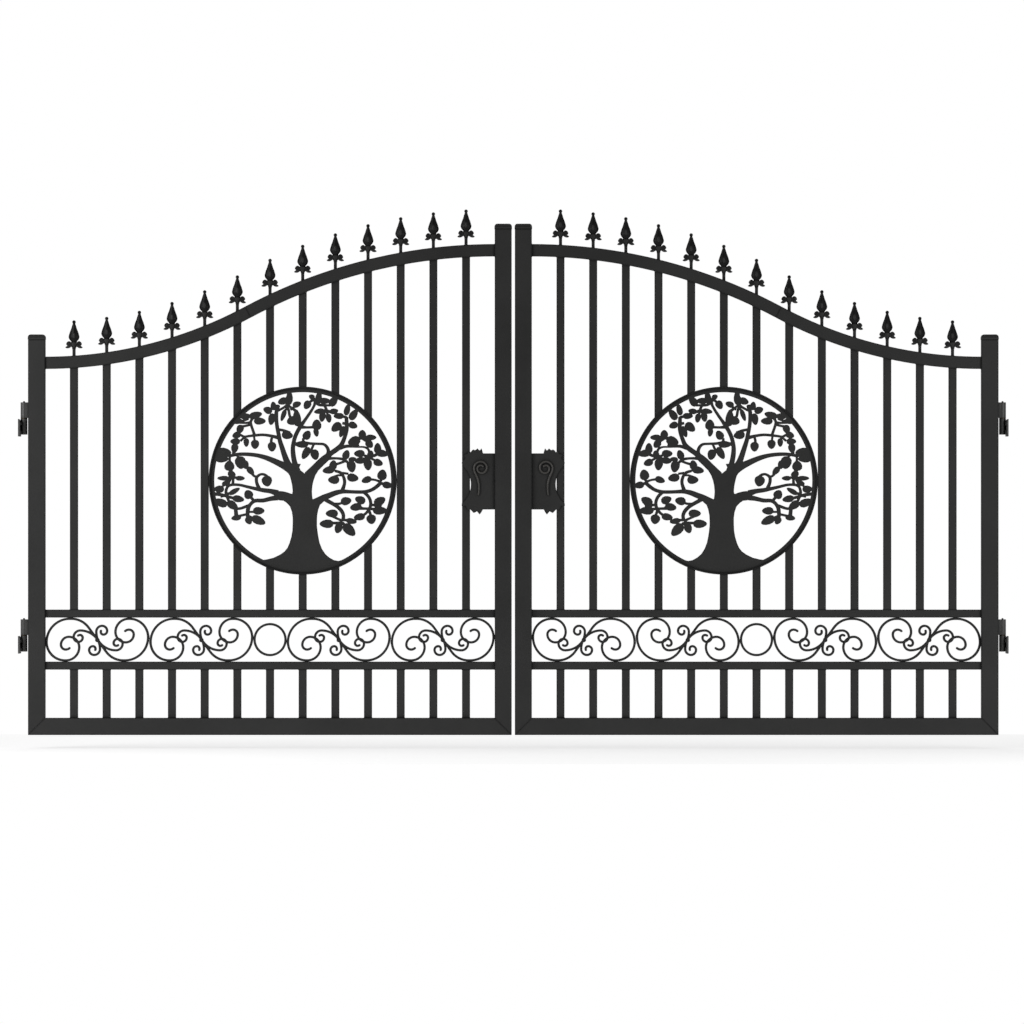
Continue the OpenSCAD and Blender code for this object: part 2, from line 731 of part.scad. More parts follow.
module bent_bar(line, w) {
    polygon(concat(
        [for (q = line) [q[0] - w / 2 * sin(q[2]), q[1] + w / 2 * cos(q[2])]],
        [for (k = [len(line) - 1 : -1 : 0]) let (q = line[k])
            [q[0] + w / 2 * sin(q[2]), q[1] - w / 2 * cos(q[2])]]));
}

// Reach of the big loop's centre line, up to the rail and out to its neighbour
loop_up = scroll_panel_h / 2 - weld_gap - scroll_bar / 2;
loop_out = scroll_w / 2 - weld_gap - scroll_bar / 2;
big_lean = 126;
big_r = 80;
big_straight = (loop_up - big_r * (1 + cos(big_lean))) / sin(big_lean);
big_top_x = big_r * sin(big_lean) - big_straight * cos(big_lean);
big_out_r = loop_out - big_top_x;
// Short flats that widen the loop at its top and at its foot
big_flat = 6;
big_foot = 4;
big_low_r = 2 * loop_up - (big_out_r - big_flat);

big_scroll = [[big_straight, 0], [big_r, 180 - big_lean], [big_flat, 0],
    [big_out_r - big_flat, 90], [big_low_r, 90], [big_foot, 0],
    [54 - big_foot, 90], [39, 90], [30, 90], [18, 90], [22, 40]];
mid_scroll = [[6, 0], [79, 180 - big_lean], [25, 90], [18, 90], [16, 90],
    [10, 90], [12, 35]];
small_scroll = [[81, -24], [22, -90], [19, -90], [14, -90], [10, -90],
    [12, -20]];
// How far the two smaller strands sit under and to the side of the big one's middle
small_drop = 3;
small_side = 3;

module scroll_front() {
    for (turn = [0, 180])
        rotate(turn) {
            bent_bar(bent_line(big_scroll, [0, 0], big_lean), scroll_bar);
        }
    translate([small_side, -small_drop])
        for (turn = [0, 180])
            rotate(turn) {
                bent_bar(bent_line(mid_scroll, [0, 0], big_lean), scroll_bar);
                bent_bar(bent_line(small_scroll, [0, 0], 114), scroll_bar);
            }
    translate([0, -small_drop / 2])
        circle(r = scroll_bar, $fn = 24);
}

module scroll_unit(x) {
    color([0.14, 0.14, 0.14])
        in_leaf()
            translate([frame_tube + x, 0, panel_mid_z])
                upright(mid_y, scroll_d)
                    offset(delta = 0.01)
                        scroll_front();
}

module scroll_1() {
    scroll_unit(scroll_w / 2);
}

module scroll_2() {
    scroll_unit(1.5 * scroll_w);
}

module scroll_3() {
    scroll_unit(2.5 * scroll_w + ring_dia);
}

module scroll_4() {
    scroll_unit(3.5 * scroll_w + ring_dia);
}

module scroll_ring() {
    color([0.14, 0.14, 0.14])
        in_leaf()
            translate([frame_tube + clear_w / 2, 0, panel_mid_z])
                upright(mid_y, scroll_d)
                    difference() {
                        circle(r = ring_r - weld_gap);
                        circle(r = ring_r - ring_bar);
                    }
}

// ---------- lock plate and pull ----------

// The plate's middle depth: it lies on the front of the last picket
plate_y = mid_y - picket_bar / 2 - plate_t / 2;

module lock_plate() {
    color([0.14, 0.14, 0.14])
        in_leaf()
            translate([leaf_w - frame_tube, 0, plate_z])
                upright(plate_y, plate_t)
                    plate_front();
}

// Leaf-edged outline of the lock plate, from the meeting stile's inner face and the plate's middle
plate_edge = [[0, 106], [-44, 106], [-47, 116], [-50, 125], [-56, 117],
    [-60, 119], [-65, 125], [-70, 120], [-75, 118], [-80, 121],
    [-86, 117], [-91, 110], [-98, 116], [-104, 104], [-112, 104],
    [-118, 98], [-113, 92], [-112, 85], [-120, 80], [-125, 70],
    [-120, 62], [-117, 51], [-124, -83], [-125, -92], [-116, -95],
    [-110, -92], [-106, -104], [-100, -110], [-92, -106], [-87, -111],
    [-80, -119], [-74, -117], [-67, -113], [-62, -119], [-57, -125],
    [-50, -116], [-45, -106], [0, -106]];
// Hollow side of the plate: middle and radius of its arc
plate_hollow = [-182, -11];
plate_hollow_r = 92;

module plate_front() {
    difference() {
        polygon(plate_edge);
        translate(plate_hollow)
            circle(r = plate_hollow_r);
    }
}

// The pull's middle line: where its tail starts, the way it sets off, and its bends
pull_start = [-62, -50];
pull_heading = 78;
pull_bends = [[120, 40], [40, -28], [25, -90], [23, -90], [20, -90],
    [16, -90], [13, -90], [11, -50]];

// Corner k of an eight-sided ring round point q of a bent line
function ring_point(q, d, k) =
    let (a = 45 * k + 22.5, s = d / 2 * cos(a))
    [q[0] - s * sin(q[2]), -d / 2 * sin(a), q[1] + s * cos(q[2])];

// A round bar along a bent line, drawn with eight sides
module round_bar(line, d) {
    n = len(line);
    polyhedron(
        points = [for (q = line) for (k = [0 : 7]) ring_point(q, d, k)],
        faces = concat(
            [[for (k = [7 : -1 : 0]) k]],
            [for (i = [0 : n - 2]) for (k = [0 : 7])
                [8 * i + k, 8 * i + (k + 1) % 8, 8 * (i + 1) + (k + 1) % 8,
                    8 * (i + 1) + k]],
            [[for (k = [0 : 7]) 8 * (n - 1) + k]]));
}

module pull_scroll() {
    color([0.14, 0.14, 0.14])
        in_leaf()
            translate([leaf_w - frame_tube,
                plate_y - (plate_t + pull_bar) / 2, plate_z])
                round_bar(bent_line(pull_bends, pull_start, pull_heading),
                    pull_bar);
}

// ---------- hinges ----------

module at_hinge(split) {
    translate([axis_x, 0, leaf_z + split])
        children();
}

module hinge_knuckle() {
    difference() {
        union() {
            translate([0, 0, washer_t])
                cylinder(r = barrel_r, h = barrel_half_h - washer_t);
            translate([0, -barrel_r + 1, washer_t])
                cube([leaf_x - axis_x, barrel_r - 1,
                    barrel_half_h - washer_t]);
        }
        translate([0, 0, -1])
            cylinder(r = pin_r + pin_clear, h = barrel_half_h + 2);
    }
}

module hinge_knuckles() {
    color([0.2, 0.2, 0.2])
        for (split = [lower_split_z, upper_split_z])
            at_hinge(split)
                hinge_knuckle();
}

// Chamfer along the plate's top edge, on the side away from the post
plate_chamfer = 6;
// The small domed tip on top of each pin
tip_r = 4;
tip_h = 5;

module jamb_hinge(split) {
    color([0.2, 0.2, 0.2])
        at_hinge(split) {
            translate([0, 0, -barrel_half_h])
                cylinder(r = barrel_r, h = barrel_half_h);
            translate([0, 0, -1])
                cylinder(r = pin_r, h = barrel_half_h + 1);
            translate([0, 0, barrel_half_h - 1])
                cylinder(r = tip_r, h = tip_h - tip_r + 1);
            translate([0, 0, barrel_half_h + tip_h - tip_r])
                sphere(r = tip_r);
            translate([jamb_plate_t - axis_x - 1, -barrel_r / 2,
                -barrel_half_h])
                cube([barrel_r, barrel_r,
                    barrel_half_h - jamb_plate_drop - 2 * plate_chamfer]);
            jamb_plate();
        }
}

// The plate on the post, its top edge chamfered, with four bolt holes
module jamb_plate() {
    difference() {
        translate([-axis_x, -jamb_plate_w / 2,
            -jamb_plate_drop - jamb_plate_h])
            cube([jamb_plate_t, jamb_plate_w, jamb_plate_h]);
        for (y = [-1, 1])
            for (z = [0.25, 0.75])
                translate([-axis_x - 1, y * 0.35 * jamb_plate_w,
                    -jamb_plate_drop - z * jamb_plate_h])
                    rotate([0, 90, 0])
                        cylinder(d = bolt_hole, h = jamb_plate_t + 2);
        translate([-axis_x + jamb_plate_t, 0, -jamb_plate_drop])
            rotate([0, 45, 0])
                cube([plate_chamfer * sqrt(2), 2 * jamb_plate_w,
                    plate_chamfer * sqrt(2)], center = true);
    }
}

module jamb_hinge_lower() {
    jamb_hinge(lower_split_z);
}

module jamb_hinge_upper() {
    jamb_hinge(upper_split_z);
}

module washer_pair() {
    for (split = [lower_split_z, upper_split_z])
        at_hinge(split)
            difference() {
                cylinder(r = barrel_r, h = washer_t);
                translate([0, 0, -1])
                    cylinder(r = pin_r + pin_clear, h = washer_t + 2);
            }
}

module hinge_washers() {
    color([0.45, 0.4, 0.3]) {
        washer_pair();
        mirrored()
            washer_pair();
    }
}

// ---------- nodes ----------

hinge_stile();  // hinge_stile_l
meeting_stile();  // meeting_stile_l
bottom_rail();  // bottom_rail_l
top_rail_low();  // top_rail_low_l
top_rail_high();  // top_rail_high_l
scroll_rails();  // scroll_rails_l
upper_pickets();  // upper_pickets_l
lower_pickets();  // lower_pickets_l
finials();  // finials_l
medallion_hoop();  // medallion_hoop_l
tree_plate();  // tree_plate_l
scroll_1();  // scroll_1_l
scroll_2();  // scroll_2_l
scroll_ring();  // scroll_ring_l
scroll_3();  // scroll_3_l
scroll_4();  // scroll_4_l
lock_plate();  // lock_plate_l
pull_scroll();  // pull_scroll_l
stile_caps();  // stile_caps_l
hinge_knuckles();  // hinge_knuckles_l
mirrored() hinge_stile();  // hinge_stile_r
mirrored() meeting_stile();  // meeting_stile_r
mirrored() bottom_rail();  // bottom_rail_r
mirrored() top_rail_low();  // top_rail_low_r
mirrored() top_rail_high();  // top_rail_high_r
mirrored() scroll_rails();  // scroll_rails_r
mirrored() upper_pickets();  // upper_pickets_r
mirrored() lower_pickets();  // lower_pickets_r
mirrored() finials();  // finials_r
mirrored() medallion_hoop();  // medallion_hoop_r
mirrored() tree_plate();  // tree_plate_r
mirrored() scroll_1();  // scroll_1_r
mirrored() scroll_2();  // scroll_2_r
mirrored() scroll_ring();  // scroll_ring_r
mirrored() scroll_3();  // scroll_3_r
mirrored() scroll_4();  // scroll_4_r
mirrored() lock_plate();  // lock_plate_r
mirrored() pull_scroll();  // pull_scroll_r
mirrored() stile_caps();  // stile_caps_r
mirrored() hinge_knuckles();  // hinge_knuckles_r
jamb_hinge_lower();  // jamb_hinge_lower_l
jamb_hinge_upper();  // jamb_hinge_upper_l
mirrored() jamb_hinge_lower();  // jamb_hinge_lower_r
mirrored() jamb_hinge_upper();  // jamb_hinge_upper_r
hinge_washers();
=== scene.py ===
"""Looks of a pair of wrought iron driveway gate leaves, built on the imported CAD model."""

import json
import math

import bmesh
import bpy
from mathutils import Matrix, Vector


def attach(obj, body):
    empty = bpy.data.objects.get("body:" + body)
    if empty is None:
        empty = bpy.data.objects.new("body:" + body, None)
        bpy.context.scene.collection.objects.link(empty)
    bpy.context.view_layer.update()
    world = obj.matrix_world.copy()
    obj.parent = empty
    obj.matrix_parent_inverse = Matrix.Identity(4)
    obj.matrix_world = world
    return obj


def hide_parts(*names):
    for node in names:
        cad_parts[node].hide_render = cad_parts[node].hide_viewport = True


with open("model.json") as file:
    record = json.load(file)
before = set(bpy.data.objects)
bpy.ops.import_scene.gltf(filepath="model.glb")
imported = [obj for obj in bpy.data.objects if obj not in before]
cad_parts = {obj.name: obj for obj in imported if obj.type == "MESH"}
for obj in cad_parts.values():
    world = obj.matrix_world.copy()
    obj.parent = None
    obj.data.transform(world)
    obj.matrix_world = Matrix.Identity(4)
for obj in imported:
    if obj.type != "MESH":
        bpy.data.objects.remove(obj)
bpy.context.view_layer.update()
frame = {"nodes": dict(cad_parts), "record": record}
nodes = frame["nodes"]

# Sizes in millimetres, the same as in the CAD source
OPENING = 3740.0
LEAF_X = 39.0
LEAF_W = 1825.0
LEAF_Z = -340.0
TUBE = 64.0
MID_Y = -32.0
CLEAR = LEAF_W - 2 * TUBE
PICKETS = 13
BAR = 30.0
PITCH = (CLEAR - PICKETS * BAR) / (PICKETS + 1) + BAR
RAIL = 46.0
LOW_Z, HIGH_Z = 1405.0, 1830.0
ARC_SUM = (CLEAR**2 + (HIGH_Z - LOW_Z) ** 2) / (2 * (HIGH_Z - LOW_Z))
LOW_R = 0.451 * ARC_SUM
HIGH_R = ARC_SUM - LOW_R
JOINT_X = TUBE + LOW_R * CLEAR / ARC_SUM
SCROLL_RAIL_Z = 246.5
PANEL_H = 166.5
PANEL_MID = SCROLL_RAIL_Z + BAR + PANEL_H / 2
UPPER_Z = SCROLL_RAIL_Z + 2 * BAR + PANEL_H
RING = 126.0
SCROLL_BAR, SCROLL_D = 9.0, 20.0
MEDALLION = 8
MEDALLION_Z = 960.0
GAP = 0.2
AXIS_X = 21.0
SPLITS = (375.0, 1195.0)
SIDES = (("l", "left_leaf", False), ("r", "right_leaf", True))


def rad(a):
    return math.radians(a)


def row(x, y, z, mirrored):
    """A point of the leaf's own drawing, in the row frame, in metres."""
    x += LEAF_X
    return ((OPENING - x if mirrored else x) / 1000, y / 1000, (LEAF_Z + z) / 1000)


def picket_x(i):
    return TUBE + i * PITCH - BAR / 2


def rail_z(x):
    if x < JOINT_X:
        return LOW_Z + LOW_R - math.sqrt(LOW_R**2 - (x - TUBE) ** 2)
    return HIGH_Z - HIGH_R + math.sqrt(HIGH_R**2 - (LEAF_W - TUBE - x) ** 2)


def rail_cos(x):
    if x < JOINT_X:
        return math.sqrt(1 - ((x - TUBE) / LOW_R) ** 2)
    return math.sqrt(1 - ((LEAF_W - TUBE - x) / HIGH_R) ** 2)


# ---------- materials ----------


def powder_coat(name, body, edge, rough, reach, peel=0.12, level=0.35):
    """Satin powder coat: uneven film, orange peel, a thin dust on what faces up, and painted shade: darker edges and
    darker crevices near other parts.
    """
    m = bpy.data.materials.new(name)
    m.use_nodes = True
    n, link = m.node_tree.nodes, m.node_tree.links
    shader = n["Principled BSDF"]
    where = n.new("ShaderNodeTexCoord")
    patch = n.new("ShaderNodeTexNoise")
    patch.inputs["Scale"].default_value = 4.0
    patch.inputs["Detail"].default_value = 8.0
    patch.inputs["Roughness"].default_value = 0.62
    link.new(where.outputs["Object"], patch.inputs["Vector"])
    film = n.new("ShaderNodeValToRGB")
    film.color_ramp.elements[0].position = 0.36
    film.color_ramp.elements[1].position = 0.66
    film.color_ramp.elements[0].color = (*[c * 0.84 for c in body], 1)
    film.color_ramp.elements[1].color = (*[c * 1.16 for c in body], 1)
    link.new(patch.outputs["Fac"], film.inputs["Fac"])

    shape = n.new("ShaderNodeNewGeometry")
    speck = n.new("ShaderNodeTexNoise")
    speck.inputs["Scale"].default_value = 60.0
    speck.inputs["Detail"].default_value = 6.0
    link.new(where.outputs["Object"], speck.inputs["Vector"])
    up = n.new("ShaderNodeSeparateXYZ")
    link.new(shape.outputs["Normal"], up.inputs["Vector"])
    dust = n.new("ShaderNodeMapRange")
    dust.inputs["From Min"].default_value = 0.35
    dust.inputs["From Max"].default_value = 1.0
    dust.inputs["To Max"].default_value = 0.35
    link.new(up.outputs["Z"], dust.inputs["Value"])
    thin = n.new("ShaderNodeMath")
    thin.operation = "MULTIPLY"
    link.new(dust.outputs["Result"], thin.inputs[0])
    link.new(speck.outputs["Fac"], thin.inputs[1])
    dusty = n.new("ShaderNodeMix")
    dusty.data_type = "RGBA"
    dusty.inputs["B"].default_value = (0.085, 0.08, 0.072, 1)
    link.new(thin.outputs["Value"], dusty.inputs["Factor"])
    link.new(film.outputs["Color"], dusty.inputs["A"])

    # Painted shade: near edges (the Bevel normal against the surface normal) and in crevices near other parts
    # (ambient occlusion), the colour is mixed toward the near-black edge colour.
    rim = n.new("ShaderNodeBevel")
    rim.samples = 6
    rim.inputs["Radius"].default_value = reach
    same = n.new("ShaderNodeVectorMath")
    same.operation = "DOT_PRODUCT"
    link.new(rim.outputs["Normal"], same.inputs[0])
    link.new(shape.outputs["Normal"], same.inputs[1])
    flat = n.new("ShaderNodeMapRange")
    flat.inputs["From Min"].default_value = 0.95
    flat.inputs["From Max"].default_value = 0.9985
    link.new(same.outputs["Value"], flat.inputs["Value"])
    crevice = n.new("ShaderNodeAmbientOcclusion")
    crevice.samples = 6
    crevice.inputs["Distance"].default_value = 0.011
    deep = n.new("ShaderNodeMapRange")
    deep.inputs["From Min"].default_value = 0.55
    deep.inputs["From Max"].default_value = 0.97
    link.new(crevice.outputs["AO"], deep.inputs["Value"])
    both = n.new("ShaderNodeMath")
    both.operation = "MULTIPLY"
    link.new(flat.outputs["Result"], both.inputs[0])
    link.new(deep.outputs["Result"], both.inputs[1])
    painted_shade = n.new("ShaderNodeMix")
    painted_shade.data_type = "RGBA"
    painted_shade.inputs["A"].default_value = (*edge, 1)
    link.new(both.outputs["Value"], painted_shade.inputs["Factor"])
    link.new(dusty.outputs["Result"], painted_shade.inputs["B"])
    link.new(painted_shade.outputs["Result"], shader.inputs["Base Color"])

    gloss = n.new("ShaderNodeMapRange")
    gloss.inputs["To Min"].default_value = rough - 0.07
    gloss.inputs["To Max"].default_value = rough + 0.09
    link.new(patch.outputs["Fac"], gloss.inputs["Value"])
    link.new(gloss.outputs["Result"], shader.inputs["Roughness"])
    grain = n.new("ShaderNodeTexNoise")
    grain.inputs["Scale"].default_value = 700.0
    grain.inputs["Detail"].default_value = 2.0
    link.new(where.outputs["Object"], grain.inputs["Vector"])
    bump = n.new("ShaderNodeBump")
    bump.inputs["Strength"].default_value = peel
    bump.inputs["Distance"].default_value = 0.0004
    link.new(grain.outputs["Fac"], bump.inputs["Height"])
    link.new(bump.outputs["Normal"], shader.inputs["Normal"])
    shader.inputs["Specular IOR Level"].default_value = level
    return m


BLACK = (0.0205, 0.0205, 0.0200)
# Near-black colour of the painted shade on edges and in crevices.
PAINTED_SHADE_BLACK = (0.0022, 0.0022, 0.0021)
paint = {
    "frame_paint": powder_coat("frame_coat", BLACK, PAINTED_SHADE_BLACK, 0.5, 0.0075),
    "bar_paint": powder_coat("bar_coat", BLACK, PAINTED_SHADE_BLACK, 0.5, 0.0072),
    "casting_paint": powder_coat("cast_coat", BLACK, PAINTED_SHADE_BLACK, 0.45, 0.004, 0.3),
    "plate_paint": powder_coat("plate_coat", BLACK, PAINTED_SHADE_BLACK, 0.52, 0.0055),
    # The hinge paint is the same black coat made lighter, a painted highlight. It is also glossier, and the post
    # bolts share it.
    "hinge_paint": powder_coat("hinge_highlight_coat", (0.075, 0.075, 0.073), PAINTED_SHADE_BLACK, 0.34, 0.003, level=0.5),
}
# Painted shade: the spear tips get the same black coat made about five times darker and less shiny, standing in for
# their shading.
spear_shaded_coat = powder_coat("spear_shaded_coat", (0.004, 0.004, 0.0039), PAINTED_SHADE_BLACK, 0.42, 0.003, 0.3, level=0.2)
brass = powder_coat("dull_brass", (0.11, 0.082, 0.045), PAINTED_SHADE_BLACK, 0.4, 0.001, level=0.5)
brass.node_tree.nodes["Principled BSDF"].inputs["Metallic"].default_value = 0.9
paint["washer_brass"] = brass
pull_coat = powder_coat("pull_coat", (0.05, 0.047, 0.043), PAINTED_SHADE_BLACK, 0.36, 0.0015, level=0.5)

# ---------- CAD nodes that stay ----------

slots = {p["node"]: p["material_slot"] for p in frame["record"]["subparts"]}
bevels = {
    "hinge_stile": 0.0016,
    "meeting_stile": 0.0016,
    "bottom_rail": 0.0016,
    "top_rail_low": 0.0014,
    "top_rail_high": 0.0014,
    "scroll_rails": 0.0012,
    "upper_pickets": 0.0012,
    "lower_pickets": 0.0012,
    "medallion_hoop": 0.0008,
    "tree_plate": 0.0005,
    "scroll_ring": 0.001,
    "lock_plate": 0.0007,
    "stile_caps": 0.0008,
    "hinge_knuckles": 0.001,
    "jamb_hinge_lower": 0.001,
    "jamb_hinge_upper": 0.001,
    "hinge_washers": 0.0002,
}
for name, ob in nodes.items():
    ob.data.materials.clear()
    ob.data.materials.append(paint[slots[name]])
    width = bevels.get(name[:-2]) or bevels.get(name)
    if width:
        if "custom_normal" in ob.data.attributes:
            ob.data.attributes.remove(ob.data.attributes["custom_normal"])
        ob.data.shade_smooth()
        weld = ob.modifiers.new("weld", "WELD")
        weld.merge_threshold = 0.00002
        bevel = ob.modifiers.new("edges", "BEVEL")
        bevel.width = width
        bevel.segments = 2
        bevel.limit_method = "ANGLE"
        bevel.angle_limit = rad(38)
        bevel.use_clamp_overlap = False
        bevel.miter_outer = "MITER_ARC"
        normals = ob.modifiers.new("normals", "WEIGHTED_NORMAL")
        normals.weight = 80
        normals.keep_sharp = False

# ---------- mesh tools ----------


class Shape:
    """Vertices in millimetres and faces of one piece as it is put together."""

    def __init__(self):
        self.verts, self.faces = [], []

    def rings(self, rings, closed=True):
        n, base = len(rings[0]), len(self.verts)
        for r in rings:
            self.verts += r
        for i in range(len(rings) - 1):
            for k in range(n):
                a, b = base + i * n + k, base + i * n + (k + 1) % n
                self.faces.append((a, b, b + n, a + n))
        if closed:
            self.faces.append(tuple(range(base, base + n)))
            self.faces.append(tuple(range(base + (len(rings) - 1) * n, base + len(rings) * n)))

    def add(self, other, move=(0, 0, 0)):
        base = len(self.verts)
        self.verts += [(v[0] + move[0], v[1] + move[1], v[2] + move[2]) for v in other.verts]
        self.faces += [tuple(base + i for i in f) for f in other.faces]


def piece(name, shape, body, material, mirrored=False, replaces=(), smooth=35, place=row):
    me = bpy.data.meshes.new(name)
    me.from_pydata([place(*v, mirrored) for v in shape.verts], [], shape.faces)
    bm = bmesh.new()
    bm.from_mesh(me)
    bmesh.ops.remove_doubles(bm, verts=bm.verts, dist=0.000001)
    bmesh.ops.recalc_face_normals(bm, faces=bm.faces)
    bm.to_mesh(me)
    bm.free()
    me.shade_smooth()
    me.set_sharp_from_angle(angle=rad(smooth))
    me.materials.append(material)
    ob = bpy.data.objects.new(name, me)
    bpy.context.scene.collection.objects.link(ob)
    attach(ob, body)
    if replaces:
        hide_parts(*replaces)
    return ob


def bend(p, r, t):
    """The end of a bend of radius r and turn t that sets off from p = (u, v, heading); a turn of 0 is a straight."""
    u, v, h = p
    if t == 0:
        return (u + r * math.cos(rad(h)), v + r * math.sin(rad(h)), h)
    s = 1 if t > 0 else -1
    return (
        u + s * r * (math.sin(rad(h + t)) - math.sin(rad(h))),
        v - s * r * (math.cos(rad(h + t)) - math.cos(rad(h))),
        h + t,
    )


def bent_line(steps, start, fine=4.0):
    line, p = [start], start
    for r, t in steps:
        n = 1 if t == 0 else math.ceil(abs(t) / (fine if r < 60 else fine / 1.6))
        line += [bend(p, r, t * k / n) if t else bend(p, r, 0) for k in range(1, n + 1)]
        p = line[-1]
    return line


def swept(line, half_w, half_d, corner, round_bar=False, sides=4, widths=None):
    """A bar along a line in the front plane, with softened corners and rounded ends."""
    section = []
    if round_bar:
        section = [
            (half_w * math.cos(2 * math.pi * k / 20), half_w * math.sin(2 * math.pi * k / 20))
            for k in range(20)
        ]
    else:
        for cx, cy, a0 in ((1, 1, 0), (-1, 1, 90), (-1, -1, 180), (1, -1, 270)):
            for k in range(sides):
                a = rad(a0 + 90 * k / (sides - 1))
                section.append(
                    (
                        cx * (half_w - corner) + corner * math.cos(a),
                        cy * (half_d - corner) + corner * math.sin(a),
                    )
                )

    def ring(p, scale, push=0.0):
        c, s = math.cos(rad(p[2])), math.sin(rad(p[2]))
        out = []
        for a, d in section:
            a, d = a * scale, d * (scale if round_bar else 1 - 0.12 * (1 - scale))
            out.append((p[0] + push * c - a * s, d, p[1] + push * s + a * c))
        return out

    ends = [(math.cos(rad(a)), half_w * math.sin(rad(a))) for a in (84, 66, 45, 22)]
    widths = widths or [1.0] * len(line)
    rings = [ring(line[0], e * widths[0], -p * widths[0]) for e, p in ends]
    rings += [ring(q, w) for q, w in zip(line, widths)]
    rings += [ring(line[-1], e * widths[-1], p * widths[-1]) for e, p in reversed(ends)]
    s = Shape()
    s.rings(rings)
    return s


def ball(centre, radii, around=20, up=12):
    s = Shape()
    cx, cy, cz = centre
    rings = []
    for i in range(up + 1):
        f = math.pi * i / up
        q = max(math.sin(f), 0.02)
        rings.append(
            [
                (
                    cx + radii[0] * q * math.cos(2 * math.pi * k / around),
                    cy + radii[1] * q * math.sin(2 * math.pi * k / around),
                    cz - radii[2] * math.cos(f),
                )
                for k in range(around)
            ]
        )
    s.rings(rings)
    return s


def curve_through(points, n=5, closed=False):
    """A smooth line through points (Catmull-Rom)."""
    out, count = [], len(points)
    for i in range(count if closed else count - 1):
        if closed:
            p = [points[(i + k) % count] for k in (-1, 0, 1, 2)]
        else:
            p = [points[min(max(i + k, 0), count - 1)] for k in (-1, 0, 1, 2)]
        for k in range(n):
            t = k / n
            out.append(
                tuple(
                    0.5
                    * (
                        2 * p[1][j]
                        + (p[2][j] - p[0][j]) * t
                        + (2 * p[0][j] - 5 * p[1][j] + 4 * p[2][j] - p[3][j]) * t * t
                        + (3 * p[1][j] - p[0][j] - 3 * p[2][j] + p[3][j]) * t**3
                    )
                    for j in range(2)
                )
            )
    if not closed:
        out.append(tuple(points[-1]))
    return out


def cushion_plate(outline, half_d, edge):
    """A flat outline in the front plane given thickness and round edges."""
    cu = bpy.data.curves.new("outline", "CURVE")
    cu.dimensions = "2D"
    cu.fill_mode = "BOTH"
    sp = cu.splines.new("POLY")
    sp.points.add(len(outline) - 1)
    for pt, (x, z) in zip(sp.points, outline):
        pt.co = (x, z, 0, 1)
    sp.use_cyclic_u = True
    cu.extrude = half_d - edge
    cu.bevel_depth = edge
    cu.bevel_resolution = 2
    cu.offset = -edge
    ob = bpy.data.objects.new("outline", cu)
    bpy.context.scene.collection.objects.link(ob)
    me = ob.to_mesh()
    s = Shape()
    s.verts = [(v.co.x, -v.co.z, v.co.y) for v in me.vertices]
    s.faces = [tuple(p.vertices) for p in me.polygons]
    ob.to_mesh_clear()
    bpy.data.objects.remove(ob)
    bpy.data.curves.remove(cu)
    return s


# ---------- scrolls ----------

UP = PANEL_H / 2 - GAP - SCROLL_BAR / 2
SCROLL_W = (CLEAR - RING) / 4
OUT = SCROLL_W / 2 - GAP - SCROLL_BAR / 2
LEAN, BIG_R = 126.0, 80.0
STRAIGHT = (UP - BIG_R * (1 + math.cos(rad(LEAN)))) / math.sin(rad(LEAN))
OUT_R = OUT - (BIG_R * math.sin(rad(LEAN)) - STRAIGHT * math.cos(rad(LEAN)))
FLAT, FOOT = 6.0, 4.0
LOW_LOOP = 2 * UP - (OUT_R - FLAT)
big = [
    (STRAIGHT, 0), (BIG_R, 180 - LEAN), (FLAT, 0), (OUT_R - FLAT, 90), (LOW_LOOP, 90), (FOOT, 0),
    (54 - FOOT, 90), (39, 90), (30, 90), (18, 90), (22, 40),
]
mid = [(6, 0), (79, 180 - LEAN), (25, 90), (18, 90), (16, 90), (10, 90), (12, 35)]
small = [(81, -24), (22, -90), (19, -90), (14, -90), (10, -90), (12, -20)]
strands = [(big, LEAN, 0, 0), (mid, LEAN, 3, -3), (small, 114, 3, -3)]

scroll = Shape()
for steps, heading, dx, dz in strands:
    for turn in (0, 180):
        line = bent_line(steps, (0, 0, heading))
        c, s = math.cos(rad(turn)), math.sin(rad(turn))
        line = [(u * c - v * s + dx, u * s + v * c + dz, h + turn) for u, v, h in line]
        depth = SCROLL_D / 2 - (0 if steps is big else 0.6 if steps is mid else 1.1)
        scroll.add(swept(line, SCROLL_BAR / 2, depth, 1.4))
knot = [
    [((8.4 - 1.2 * e) * math.cos(2 * math.pi * k / 28), y, -1.5 + (8.4 - 1.2 * e) * math.sin(2 * math.pi * k / 28)) for k in range(28)]
    for y, e in ((-9.9, 1), (-9.2, 0.25), (-8.4, 0), (8.4, 0), (9.2, 0.25), (9.9, 1))
]
scroll.rings(knot)
top_u = BIG_R * math.sin(rad(LEAN)) - STRAIGHT * math.cos(rad(LEAN)) + FLAT / 2
foot_u = OUT - LOW_LOOP - FOOT / 2
for s in (-1, 1):
    for u in (-top_u, foot_u):
        scroll.add(ball((s * u, 0, s * (UP + SCROLL_BAR / 2)), (8, 8.5, 1.1), 16, 8))
    scroll.add(ball((s * (OUT + SCROLL_BAR / 2), 0, s * (OUT_R - FLAT - UP)), (1.0, 8.5, 9), 16, 8))
for side, body, mirrored in SIDES:
    for k, along in enumerate((0.5, 1.5, 2.5, 3.5)):
        unit = Shape()
        x = TUBE + along * SCROLL_W + (RING if k > 1 else 0)
        unit.add(scroll, (x, MID_Y, PANEL_MID))
        node = f"scroll_{k + 1}_{side}"
        piece(f"bent_scroll_{k + 1}_{side}", unit, body, paint["bar_paint"], mirrored, [node])

# ---------- finials ----------

